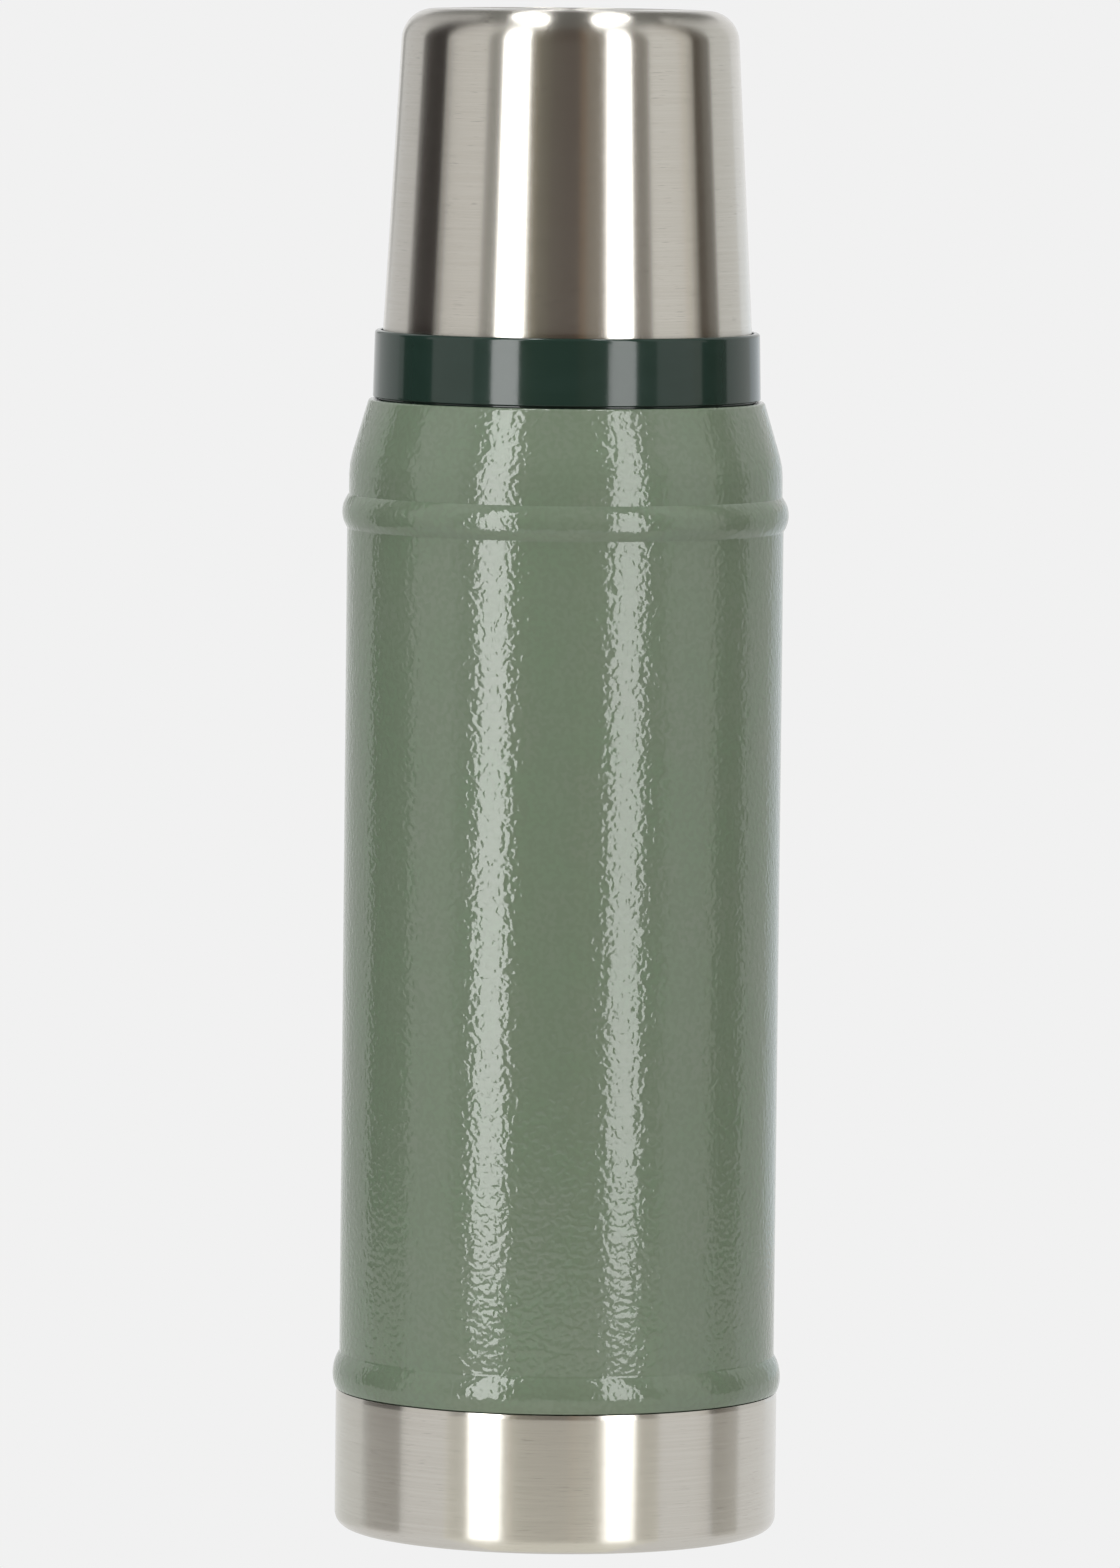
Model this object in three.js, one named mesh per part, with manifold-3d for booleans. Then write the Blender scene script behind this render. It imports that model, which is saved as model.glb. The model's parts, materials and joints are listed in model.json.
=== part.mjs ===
// A 0.75 litre steel vacuum flask with a screw-on drinking cup and a twist-to-pour stopper.
// Millimetres, +Z up, origin at the centre of the flat ring that the flask stands on.
import * as THREE from "three";
import { mergeVertices } from "three/addons/utils/BufferGeometryUtils.js";
import Module from "manifold-3d";

const wasm = await Module();
wasm.setup();

// ---- driving dimensions -------------------------------------------------------------------

const FACETS = 28; // sides of every round piece
const FILLET_STEPS = 2; // straight pieces in a rounded corner
const SHEET = 0.5; // wall of the pressed steel pieces
const FIT = 0.3; // gap left between neighbours

const HEIGHT = 293; // floor to the top of the cup
const BODY_R = 42; // painted body
const BASE_R = 42.6; // bare steel base
const SEAM_Z = 26.8; // top of the bare steel base
const UPPER_BEAD = { z: 196.5, half: 3.3, peak: 42.95 };
const LOWER_BEAD = { z: 30.5, half: 3.4, peak: 43.2 };
const SHOULDER_R = BODY_R - 0.3; // between the upper bead and the shoulder's bend
const SHOULDER_BEND_Z = 205.7; // where the shoulder turns inwards
const SHOULDER_TOP_R = 38.05;
const SHOULDER_TOP_Z = 218;
const MOUTH_Z = 241; // lip of the neck
const NECK_R = 32.9;
const LIP_R = 30.2; // the neck above its bend
const BORE_R = 25.8; // inside of the neck, where the stopper screws in
const THROAT_R = 22.8; // the ledge that the stopper's gasket seals on
const LEDGE_Z = 218.1;
const COLLAR_BOTTOM_Z = 218.4;
const COLLAR_TOP_Z = 231.3;

const SPIGOT_R = BODY_R - 1; // lower end of the shell, inside the base
const SPIGOT_BOTTOM_Z = 6.5;
const VESSEL_R = 36.2; // outside of the inner vessel
const VESSEL_BOTTOM_Z = 12.8;
const VESSEL_FLOOR_Z = 14.6;
const VESSEL_WELD_Z = 198.5; // where the vessel's tube meets its neck piece
const STOPPER_TOP_Z = 257.5;

const TURN = 2 * Math.PI;

// Both threads are multi-start, with 4 mm from one ridge to the next.
const RIDGE_PITCH = 4;
const CUP_THREAD = { starts: 3, lead: 3 * RIDGE_PITCH };
const STOPPER_THREAD = { starts: 2, lead: 2 * RIDGE_PITCH };
const NECK_THREAD_Z = 221; // where the fixed ridges start
const BORE_THREAD_Z = 226.5;
const MESH_DROP = 1.45; // how far a moving ridge lies under the fixed one that it bears on

// ---- materials ----------------------------------------------------------------------------

const finish = (color, roughness, metalness) =>
  new THREE.MeshStandardMaterial({ color, roughness, metalness });

const hammertone = finish(0x6f8069, 0.3, 0.2);
const brushedSteel = finish(0xc9c5bd, 0.28, 1);
const satinSteel = finish(0xbdbcb8, 0.35, 1);
const greenPlastic = finish(0x20352c, 0.18, 0);
const stopperPlastic = finish(0x1d2f28, 0.4, 0);
const silicone = finish(0xa8aaa6, 0.6, 0);
const foil = finish(0xcdd0d3, 0.25, 1);
const foam = finish(0xe6e2d6, 0.9, 0);
const adhesive = finish(0x8c8a80, 0.7, 0);
const getterAlloy = finish(0x55524e, 0.7, 0.6);

// ---- outlines -----------------------------------------------------------------------------
// An outline is a list of [radius, height] points. A corner may carry a third number, its
// fillet radius.

function rounded(corners) {
  const at = ([r, z]) => new THREE.Vector2(r, z);
  return corners.flatMap((corner, i) => {
    const here = at(corner);
    if (!corner[2] || i === 0 || i === corners.length - 1) return [here];
    const back = at(corners[i - 1]).sub(here).normalize();
    const on = at(corners[i + 1]).sub(here).normalize();
    const half = back.angleTo(on) / 2;
    const tangent = corner[2] / Math.tan(half);
    const centre = back.clone().add(on).normalize().multiplyScalar(corner[2] / Math.sin(half)).add(here);
    const from = back.multiplyScalar(tangent).add(here).sub(centre);
    const to = on.multiplyScalar(tangent).add(here).sub(centre);
    const sweep = Math.atan2(from.cross(to), from.dot(to));
    return Array.from({ length: FILLET_STEPS + 1 }, (_, k) =>
      from.clone().rotateAround(new THREE.Vector2(), (sweep * k) / FILLET_STEPS).add(centre),
    );
  });
}

// The same line moved to its left by a distance, with its mitred corners kept.
function offset(line, distance) {
  const normals = line.slice(1).map((p, i) => {
    const along = p.clone().sub(line[i]).normalize();
    return new THREE.Vector2(-along.y, along.x);
  });
  return line.map((p, i) => {
    const before = normals[Math.max(0, i - 1)];
    const after = normals[Math.min(normals.length - 1, i)];
    const middle = before.clone().add(after).normalize();
    const moved = middle.multiplyScalar(distance / middle.dot(after)).add(p);
    if (p.x === 0) moved.x = 0;
    return moved;
  });
}

// ---- solids -------------------------------------------------------------------------------

// Turns a closed outline, or one that starts and ends on the axis, about Z.
function revolve(outline) {
  const line = outline.map((p) => (p.isVector2 ? p : new THREE.Vector2(p[0], p[1])));
  if (THREE.ShapeUtils.area(line) < 0) line.reverse();
  if (line[0].x !== 0 || line.at(-1).x !== 0) line.push(line[0].clone());
  return new THREE.LatheGeometry(line, FACETS).rotateX(Math.PI / 2);
}

// A pressed sheet: a line of corners given a wall to the left of its travel.
function pressed(corners, wall = SHEET) {
  const face = rounded(corners);
  return revolve([...offset(face, wall).reverse(), ...face]);
}

const ring = (inner, outer, bottom, top) =>
  revolve([
    [inner, bottom],
    [outer, bottom],
    [outer, top],
    [inner, top],
  ]);

function toManifold(geometry) {
  const bare = geometry.clone();
  bare.deleteAttribute("normal");
  bare.deleteAttribute("uv");
  const merged = mergeVertices(bare, 1e-4);
  return new wasm.Manifold(
    new wasm.Mesh({
      numProp: 3,
      vertProperties: merged.attributes.position.array,
      triVerts: new Uint32Array(merged.index.array),
    }),
  );
}

function fromManifold(solid) {
  const { vertProperties, triVerts } = solid.getMesh();
  return new THREE.BufferGeometry()
    .setAttribute("position", new THREE.BufferAttribute(vertProperties, 3))
    .setIndex(new THREE.BufferAttribute(triVerts, 1));
}

const join = (...geometries) => fromManifold(geometries.map(toManifold).reduce((a, b) => a.add(b)));

const cut = (geometry, ...tools) =>
  fromManifold(tools.map(toManifold).reduce((a, b) => a.subtract(b), toManifold(geometry)));

// Thread ridges from a wall radius to a crest radius. Each is a bar wrapped round a helix,
// narrower at its crest, and it sinks into the wall at both ends.
function ridges(thread, { wall, crest, z, turns }) {
  const ROOT_WIDTH = 1.7;
  const CREST_WIDTH = 0.9;
  const SINK = 0.25; // how deep the root lies in the wall
  const RUN_OUT = 0.12; // share of the length over which the crest fades at each end
  const outward = Math.sign(crest - wall);
  const root = wall - outward * SINK;
  const fadedCrest = wall - outward * SINK * 0.4;
  return Array.from({ length: thread.starts }, (_, start) => {
    const bar = new THREE.BoxGeometry(1, 1, 1, 1, 1, Math.round(turns * FACETS));
    const corners = bar.getAttribute("position");
    for (let i = 0; i < corners.count; i++) {
      const share = 0.5 - corners.getZ(i);
      const height = Math.min(1, share / RUN_OUT, (1 - share) / RUN_OUT);
      const onCrest = corners.getX(i) > 0;
      const radius = onCrest ? THREE.MathUtils.lerp(fadedCrest, crest, height) : root;
      const width = onCrest ? CREST_WIDTH : ROOT_WIDTH;
      const angle = TURN * (start / thread.starts + share * turns);
      corners.setXYZ(
        i,
        radius * Math.cos(angle),
        radius * Math.sin(angle),
        z + thread.lead * share * turns + outward * corners.getY(i) * width,
      );
    }
    return bar;
  });
}

// ---- the flask: outer shell, neck, inner vessel and what is sealed between them --------------

// Corners over a rolled bead: an arch between the radii below and above it.
function rolled({ z, half, peak }, below, above) {
  const middle = (below + above) / 2;
  return [-1, -0.5, 0, 0.5, 1].map((t) => [
    middle + ((above - below) / 2) * t + (peak - middle) * (1 - t * t),
    z + half * t,
  ]);
}

const outerShell = () =>
  pressed([
    [SPIGOT_R, SPIGOT_BOTTOM_Z],
    [SPIGOT_R, SEAM_Z + FIT],
    ...rolled(LOWER_BEAD, BODY_R + 0.7, BODY_R),
    ...rolled(UPPER_BEAD, BODY_R, SHOULDER_R),
    [SHOULDER_R, SHOULDER_BEND_Z, 14],
    [SHOULDER_TOP_R, SHOULDER_TOP_Z, 0.8],
    [NECK_R + FIT, SHOULDER_TOP_Z],
  ]);

function neckRing() {
  const tube = pressed([
    [NECK_R, 214],
    [NECK_R, 233, 3],
    [LIP_R, 237, 2],
    [LIP_R, MOUTH_Z],
  ]);
  const thread = ridges(CUP_THREAD, {
    wall: NECK_R,
    crest: NECK_R + 1.2,
    z: NECK_THREAD_Z,
    turns: 12 / FACETS,
  });
  return join(tube, ...thread);
}

const innerVessel = () => ring(VESSEL_R - SHEET, VESSEL_R, VESSEL_BOTTOM_Z, VESSEL_WELD_Z);

// The shoulder, the gasket's ledge, the threaded bore and the lip.
function vesselNeck() {
  const spun = pressed([
    [VESSEL_R, VESSEL_WELD_Z + FIT],
    [VESSEL_R, 204, 8],
    [THROAT_R + SHEET, 212.5, 2],
    [THROAT_R + SHEET, LEDGE_Z - SHEET],
    [BORE_R + SHEET, LEDGE_Z - SHEET],
    [BORE_R + SHEET, MOUTH_Z - SHEET],
    [LIP_R - SHEET - FIT, MOUTH_Z - SHEET],
  ]);
  const thread = ridges(STOPPER_THREAD, {
    wall: BORE_R,
    crest: BORE_R - 1.1,
    z: BORE_THREAD_Z,
    turns: 1,
  });
  return join(spun, ...thread);
}

// The vessel's floor, with its rim turned down and a raised middle.
const innerBottom = () =>
  pressed([
    [VESSEL_R - SHEET - FIT, VESSEL_BOTTOM_Z],
    [VESSEL_R - SHEET - FIT, VESSEL_FLOOR_Z, 1.2],
    [15, VESSEL_FLOOR_Z],
    [9, VESSEL_FLOOR_Z + 0.6],
    [0, VESSEL_FLOOR_Z + 0.6],
  ]);

// The outer bottom closes the shell's spigot. Its middle is stepped up twice, to a small hole.
function outerBottom() {
  const FLAT_Z = 7.2;
  const STEP_Z = 8.8;
  const HOLE_Z = 10;
  return pressed(
    [
      [SPIGOT_R - SHEET - FIT, 11],
      [SPIGOT_R - SHEET - FIT, FLAT_Z, 2],
      [13, FLAT_Z],
      [10, STEP_Z],
      [6.2, STEP_Z],
      [5.2, HOLE_Z],
      [1.4, HOLE_Z],
    ],
    -SHEET,
  );
}

// The bead that plugs the evacuation hole, in the dimple of the outer bottom.
const sealBead = () =>
  revolve([
    [0, 8.4],
    [3.6, 8.7],
    [4.5, 9.6],
    [1, 9.7],
    [1, 11],
    [0, 11],
  ]);

const radiationFoil = () => ring(VESSEL_R + 0.5, VESSEL_R + 0.8, 20, 201);

const GETTER = { x: 24, z: 11.4, radius: 4, thickness: 1.6 };

const getterPellet = () =>
  new THREE.CylinderGeometry(GETTER.radius, GETTER.radius, GETTER.thickness, 16)
    .rotateX(Math.PI / 2)
    .translate(GETTER.x, 0, GETTER.z);

// A hat-shaped strip that holds the pellet under the vessel's floor.
function getterClip() {
  const WIDTH = 4;
  const STRIP = 0.4;
  const BRIM = 3;
  const top = VESSEL_FLOOR_Z - SHEET - FIT;
  const seat = GETTER.z - GETTER.thickness / 2 - FIT;
  const inside = GETTER.radius + FIT;
  const half = [
    [inside, seat],
    [inside, top],
    [inside + BRIM, top],
    [inside + BRIM, top - STRIP],
    [inside + STRIP, top - STRIP],
    [inside + STRIP, seat - STRIP],
  ];
  const outline = [...half, ...half.map(([x, z]) => [-x, z]).reverse()];
  const shape = new THREE.Shape(outline.map(([x, z]) => new THREE.Vector2(x, z)));
  return new THREE.ExtrudeGeometry(shape, { depth: WIDTH, bevelEnabled: false })
    .rotateX(Math.PI / 2)
    .translate(GETTER.x, WIDTH / 2, 0);
}

const REST_RING = { inner: 35.6, outer: 39.8 };

const baseCup = () =>
  pressed(
    [
      [BASE_R, SEAM_Z],
      [BASE_R, 0, BASE_R - REST_RING.outer],
      [REST_RING.inner, 0],
      [REST_RING.inner - 1.4, 2.4],
      [0, 2.4],
    ],
    -SHEET,
  );

const baseBond = () => ring(SPIGOT_R + 0.2, BASE_R - SHEET - 0.2, 13, 21);

// ---- the stopper ----------------------------------------------------------------------------

const PLUG_R = THROAT_R - 0.6;
const STOPPER_R = 24.2; // between its ridges
const STEM_R = 20.6; // where the gasket sits
const STEM_BOTTOM_Z = 216.6;
const STOPPER_WALL = 2.4;
const GASKET = { bottom: LEDGE_Z + FIT, top: LEDGE_Z + FIT + 2.2 };
const FLANGE_Z = MOUTH_Z + 2;
const CAP_R = 28.4; // the flange under the grip
const CAP_TOP_WALL = 3;
const CAVITY_TOP_Z = STOPPER_TOP_Z - CAP_TOP_WALL - FIT;

function stopperBody() {
  const shoulder = GASKET.top + FIT;
  const tube = revolve([
    [STEM_R - STOPPER_WALL, STEM_BOTTOM_Z],
    [STEM_R, STEM_BOTTOM_Z],
    [STEM_R, shoulder],
    [STOPPER_R, shoulder],
    [STOPPER_R, CAVITY_TOP_Z],
    [STOPPER_R - STOPPER_WALL, CAVITY_TOP_Z],
    [STOPPER_R - STOPPER_WALL, shoulder + STOPPER_WALL],
    [STEM_R - STOPPER_WALL, shoulder + STOPPER_WALL],
  ]);
  const thread = ridges(STOPPER_THREAD, {
    wall: STOPPER_R,
    crest: STOPPER_R + 1.2,
    z: BORE_THREAD_Z - MESH_DROP,
    turns: 1,
  });
  // Two flat-sided channels that let the drink past the thread.
  const CHANNEL = { width: 10, depth: 1.7, reach: 3 };
  const top = FLANGE_Z - 1;
  const channels = [1, -1].map((side) =>
    new THREE.BoxGeometry(CHANNEL.depth + CHANNEL.reach, CHANNEL.width, top - shoulder).translate(
      side * (STOPPER_R + (CHANNEL.reach - CHANNEL.depth) / 2),
      0,
      (top + shoulder) / 2,
    ),
  );
  return cut(join(tube, ...thread), ...channels);
}

const stopperPlug = () =>
  revolve([
    [0, 213.5],
    [PLUG_R - 1.2, 213.5],
    [PLUG_R, 214.7],
    [PLUG_R, LEDGE_Z],
    [STEM_R + FIT, LEDGE_Z],
    [STEM_R + FIT, STEM_BOTTOM_Z - FIT],
    [0, STEM_BOTTOM_Z - FIT],
  ]);

const stopperFoam = () =>
  revolve([
    [0, STEM_BOTTOM_Z],
    [STEM_R - STOPPER_WALL - FIT, STEM_BOTTOM_Z],
    [STEM_R - STOPPER_WALL - FIT, 223.6],
    [STOPPER_R - STOPPER_WALL - FIT, 223.6],
    [STOPPER_R - STOPPER_WALL - FIT, CAVITY_TOP_Z],
    [0, CAVITY_TOP_Z],
  ]);

// The knob: a fluted grip over a plain flange, hollow underneath.
function stopperCap() {
  const FLUTES = 14;
  const STEPS_PER_FLUTE = 4;
  const GRIP_R = 26.6;
  const FLUTE_DEPTH = 0.6;
  const FLANGE_HEIGHT = 1.6;
  const BURIED = 0.6; // how far the grip reaches down into the flange
  const inside = STOPPER_R + 0.5;
  const outline = Array.from({ length: FLUTES * STEPS_PER_FLUTE }, (_, i) => {
    const angle = (TURN * i) / (FLUTES * STEPS_PER_FLUTE);
    return new THREE.Vector2(GRIP_R + FLUTE_DEPTH * Math.cos(angle * FLUTES), 0).rotateAround(
      new THREE.Vector2(),
      angle,
    );
  });
  const bottom = FLANGE_Z + FLANGE_HEIGHT - BURIED;
  const grip = new THREE.ExtrudeGeometry(new THREE.Shape(outline), {
    depth: STOPPER_TOP_Z - bottom,
    bevelEnabled: false,
  }).translate(0, 0, bottom);
  const hollow = revolve([
    [0, FLANGE_Z],
    [inside, FLANGE_Z],
    [inside, STOPPER_TOP_Z - CAP_TOP_WALL],
    [0, STOPPER_TOP_Z - CAP_TOP_WALL],
  ]);
  return join(cut(grip, hollow), ring(inside, CAP_R, FLANGE_Z, FLANGE_Z + FLANGE_HEIGHT));
}

const stopperGasket = () => ring(STEM_R + 0.4, STOPPER_R, GASKET.bottom, GASKET.top);

const dripRing = () => ring(BORE_R + 0.9, CAP_R, MOUTH_Z + FIT, FLANGE_Z - FIT);

// ---- the cup --------------------------------------------------------------------------------

const CUP_TAPER = 0.0543; // radius lost per millimetre of height
const CUP_TOP_R = 32.1;
const cupRadius = (z) => CUP_TOP_R + CUP_TAPER * (HEIGHT - z);
const SHELL_RIM_Z = 228.6;
const LINER_RIM_Z = 227.3;
const POCKET_Z = 227; // floor of the collar's groove, which holds the seal and both rims
const LINER_TOP_Z = HEIGHT - 3.4;

const cupShell = () =>
  pressed([
    [cupRadius(SHELL_RIM_Z), SHELL_RIM_Z],
    [CUP_TOP_R, HEIGHT, 5.2],
    [0, HEIGHT],
  ]);

const cupLiner = () =>
  pressed([
    [34.7, LINER_RIM_Z],
    [34, LINER_RIM_Z + 0.7],
    [30.6, LINER_TOP_Z, 4.6],
    [0, LINER_TOP_Z],
  ]);

function cupCollar() {
  const INSIDE_R = 34.9;
  const OUTSIDE_R = 37.3;
  const DRAFT = 0.3; // how much slimmer it is at the top
  const lip = cupRadius(SHELL_RIM_Z) + FIT;
  const body = revolve([
    [INSIDE_R + 0.5, COLLAR_BOTTOM_Z],
    [OUTSIDE_R - 0.4, COLLAR_BOTTOM_Z],
    [OUTSIDE_R, COLLAR_BOTTOM_Z + 0.4],
    [OUTSIDE_R - DRAFT, COLLAR_TOP_Z - 0.9],
    [OUTSIDE_R - DRAFT - 0.4, COLLAR_TOP_Z],
    [lip, COLLAR_TOP_Z],
    [lip, POCKET_Z],
    [INSIDE_R, POCKET_Z],
    [INSIDE_R, COLLAR_BOTTOM_Z + 0.5],
  ]);
  const thread = ridges(CUP_THREAD, {
    wall: INSIDE_R,
    crest: INSIDE_R - 1.3,
    z: NECK_THREAD_Z - MESH_DROP,
    turns: 11 / FACETS,
  });
  return join(body, ...thread);
}

const cupSeal = () => ring(34.95, 35.65, POCKET_Z + FIT, SHELL_RIM_Z - FIT);

// ---- assembly -------------------------------------------------------------------------------

function mesh(name, geometry, material) {
  const made = new THREE.Mesh(geometry, material);
  made.name = name;
  return made;
}

const flask = new THREE.Group().add(
  mesh("outer_shell", outerShell(), hammertone),
  mesh("neck_ring", neckRing(), satinSteel),
  mesh("inner_vessel", innerVessel(), satinSteel),
  mesh("vessel_neck", vesselNeck(), satinSteel),
  mesh("inner_bottom", innerBottom(), satinSteel),
  mesh("outer_bottom", outerBottom(), satinSteel),
  mesh("vacuum_seal_bead", sealBead(), getterAlloy),
  mesh("radiation_foil", radiationFoil(), foil),
  mesh("getter_pellet", getterPellet(), getterAlloy),
  mesh("getter_clip", getterClip(), satinSteel),
  mesh("base_cup", baseCup(), brushedSteel),
  mesh("base_bond_ring", baseBond(), adhesive),
);

const stopper = new THREE.Group().add(
  mesh("stopper_body", stopperBody(), stopperPlastic),
  mesh("stopper_plug", stopperPlug(), stopperPlastic),
  mesh("stopper_foam", stopperFoam(), foam),
  mesh("stopper_cap", stopperCap(), stopperPlastic),
  mesh("stopper_gasket", stopperGasket(), silicone),
  mesh("drip_ring", dripRing(), silicone),
);

const cup = new THREE.Group().add(
  mesh("cup_shell", cupShell(), brushedSteel),
  mesh("cup_liner", cupLiner(), satinSteel),
  mesh("cup_collar", cupCollar(), greenPlastic),
  mesh("cup_seal_ring", cupSeal(), silicone),
);

export default new THREE.Group().add(flask, stopper, cup);
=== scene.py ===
"""A 0.75 litre steel vacuum flask on a pale studio floor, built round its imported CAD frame.

Lengths are millimetres in the outlines and metres in Blender, +Z up, the flask's axis on Z.
"""

import json
import math

import bpy
from mathutils import Matrix, Quaternion, Vector


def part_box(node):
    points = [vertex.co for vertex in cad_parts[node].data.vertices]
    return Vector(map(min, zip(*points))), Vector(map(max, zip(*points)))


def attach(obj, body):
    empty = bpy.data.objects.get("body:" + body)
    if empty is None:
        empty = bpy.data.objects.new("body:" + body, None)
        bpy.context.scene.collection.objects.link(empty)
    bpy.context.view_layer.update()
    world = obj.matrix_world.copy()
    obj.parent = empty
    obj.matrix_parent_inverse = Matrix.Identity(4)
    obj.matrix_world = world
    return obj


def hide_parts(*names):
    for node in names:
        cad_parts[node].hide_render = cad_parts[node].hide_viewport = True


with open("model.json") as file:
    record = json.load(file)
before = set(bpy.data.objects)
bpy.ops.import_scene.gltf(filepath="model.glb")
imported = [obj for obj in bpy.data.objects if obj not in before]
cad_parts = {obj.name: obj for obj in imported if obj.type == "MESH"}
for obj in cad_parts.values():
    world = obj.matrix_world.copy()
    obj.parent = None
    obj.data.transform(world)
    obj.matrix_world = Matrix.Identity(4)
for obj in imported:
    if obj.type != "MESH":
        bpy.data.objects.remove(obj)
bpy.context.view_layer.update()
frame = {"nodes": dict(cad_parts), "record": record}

MM = 0.001
TURN = 2 * math.pi


# ---- levels and radii taken from the frame ---------------------------------------------------


def bottom(node):
    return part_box(node)[0].z / MM


def top(node):
    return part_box(node)[1].z / MM


def reach(node):
    """The node's largest radius."""
    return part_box(node)[1].x / MM


SHEET = 0.5  # wall of the pressed steel
FIT = 0.3  # gap between neighbours

HEIGHT = top("cup_shell")
SEAM_Z = top("base_cup")
BASE_R = reach("base_cup")
BODY_R = BASE_R - 0.6
SHOULDER_R = BODY_R - 0.3
SHOULDER_TOP_Z = top("outer_shell")
SPIGOT_BOTTOM_Z = bottom("outer_shell")
SPIGOT_R = BODY_R - 1
MOUTH_Z = top("neck_ring")
NECK_R = 32.9
LIP_R = 30.2
SHOULDER_TOP_R = 38.05
VESSEL_R = reach("inner_vessel")
VESSEL_BOTTOM_Z = bottom("inner_vessel")
VESSEL_WELD_Z = top("inner_vessel")
BORE_R = 25.8
THROAT_R = 22.8
GASKET_Z = bottom("stopper_gasket")
GASKET_TOP_Z = top("stopper_gasket")
LEDGE_Z = GASKET_Z - FIT
STOPPER_TOP_Z = top("stopper_cap")
FLANGE_Z = bottom("stopper_cap")
CAP_R = reach("stopper_cap")
COLLAR_Z = bottom("cup_collar")
COLLAR_TOP_Z = top("cup_collar")
COLLAR_R = reach("cup_collar")
RIM_Z = bottom("cup_shell")
LINER_RIM_Z = bottom("cup_liner")
LINER_TOP_Z = top("cup_liner")
LINER_RIM_R = reach("cup_liner")

UPPER_BEAD = {"z": 196.5, "half": 3.3, "peak": BODY_R + 0.95, "fullness": 2.1}
LOWER_BEAD = {"z": 30.5, "half": 3.4, "peak": reach("outer_shell"), "fullness": 2.2}

# Both threads have several starts. A ridge climbs one lead in a turn.
CUP_THREAD = {"starts": 3, "lead": 12.0}
STOPPER_THREAD = {"starts": 2, "lead": 8.0}
NECK_THREAD_Z = 221.0
BORE_THREAD_Z = 226.5
# The moving thread starts this much lower, so that its ridges lie between the fixed ones.
MESH_DROP = 1.45


# ---- outlines -------------------------------------------------------------------------------
# An outline is a list of (radius, height) corners. A third number is a corner's fillet radius.

ARC_STEP = math.radians(9)
ON_WALL = 0.02  # a point this near a wall's radius lies on the wall


def unit(x, y):
    length = math.hypot(x, y)
    return x / length, y / length


def fillet(before, corner, after, radius):
    """Points round a corner, tangent to both of its sides."""
    ux, uy = unit(before[0] - corner[0], before[1] - corner[1])
    vx, vy = unit(after[0] - corner[0], after[1] - corner[1])
    half = math.acos(max(-1, min(1, ux * vx + uy * vy))) / 2
    bx, by = unit(ux + vx, uy + vy)
    cx = corner[0] + bx * radius / math.sin(half)
    cy = corner[1] + by * radius / math.sin(half)
    run = radius / math.tan(half)
    start = math.atan2(corner[1] + uy * run - cy, corner[0] + ux * run - cx)
    end = math.atan2(corner[1] + vy * run - cy, corner[0] + vx * run - cx)
    sweep = (end - start + math.pi) % TURN - math.pi
    steps = max(2, math.ceil(abs(sweep) / ARC_STEP))
    angles = [start + sweep * k / steps for k in range(steps + 1)]
    return [(cx + radius * math.cos(a), cy + radius * math.sin(a)) for a in angles]


def rounded(corners, closed=False):
    """The outline with its fillets drawn."""
    line = []
    for i, corner in enumerate(corners):
        inside = closed or 0 < i < len(corners) - 1
        if len(corner) > 2 and inside:
            after = corners[(i + 1) % len(corners)]
            line += fillet(corners[i - 1], corner, after, corner[2])
        else:
            line.append(corner[:2])
    return line


def offset(line, distance):
    """The line moved to its left, with its corners mitred."""
    normals = []
    for (ax, ay), (bx, by) in zip(line, line[1:]):
        x, y = unit(bx - ax, by - ay)
        normals.append((-y, x))
    moved = []
    for i, (x, y) in enumerate(line):
        before = normals[max(0, i - 1)]
        after = normals[min(len(normals) - 1, i)]
        mx, my = unit(before[0] + after[0], before[1] + after[1])
        reach_out = distance / (mx * after[0] + my * after[1])
        moved.append((0.0 if x == 0 else x + mx * reach_out, y + my * reach_out))
    return moved


def pressed(corners, wall=SHEET):
    """The closed outline of a pressed sheet, its wall to the left of the corners' travel."""
    face = rounded(corners)
    return face + offset(face, wall)[::-1]


def dense(line, low, high, step=0.25, wall=None):
    """The line with extra points on its stretches between two heights, or on one wall's only."""
    out = [line[0]]
    for a, b in zip(line, line[1:]):
        touches = max(a[1], b[1]) > low and min(a[1], b[1]) < high
        if wall is not None:
            touches = touches and max(abs(a[0] - wall), abs(b[0] - wall)) < ON_WALL
        pieces = math.ceil(math.dist(a, b) / step) if touches else 1
        for k in range(1, pieces + 1):
            t = k / pieces
            out.append((a[0] + (b[0] - a[0]) * t, a[1] + (b[1] - a[1]) * t))
    return out


def supported(line, gap=0.4):
    """The line with a point near both ends of each long stretch, so that it is shaded straight."""
    out = [line[0]]
    for a, b in zip(line, line[1:]):
        length = math.dist(a, b)
        if length > 5 * gap:
            for t in (gap / length, 1 - gap / length):
                out.append((a[0] + (b[0] - a[0]) * t, a[1] + (b[1] - a[1]) * t))
        out.append(b)
    return out


def ring_section(inner, outer, low, high, fillet_in, fillet_out=None):
    """The outline of a ring with rounded edges."""
    out = fillet_in if fillet_out is None else fillet_out
    corners = [(inner, low, fillet_in), (outer, low, out), (outer, high, out), (inner, high, fillet_in)]
    return rounded(corners, closed=True)


def rolled(bead, below, above, steps=24):
    """A rolled bead between the radii below and above it: a flat-topped arch with steep sides."""
    middle = (below + above) / 2
    rise = bead["peak"] - middle
    points = []
    for k in range(steps + 1):
        t = math.sin(math.pi / 2 * (2 * k / steps - 1))
        arch = rise * (1 - abs(t) ** bead["fullness"])
        points.append((middle + (above - below) / 2 * t + arch, bead["z"] + bead["half"] * t))
    return points


# ---- meshes ---------------------------------------------------------------------------------

WALL_SEGMENTS = 224  # round the big plain walls
THREAD_SEGMENTS = 240


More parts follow.
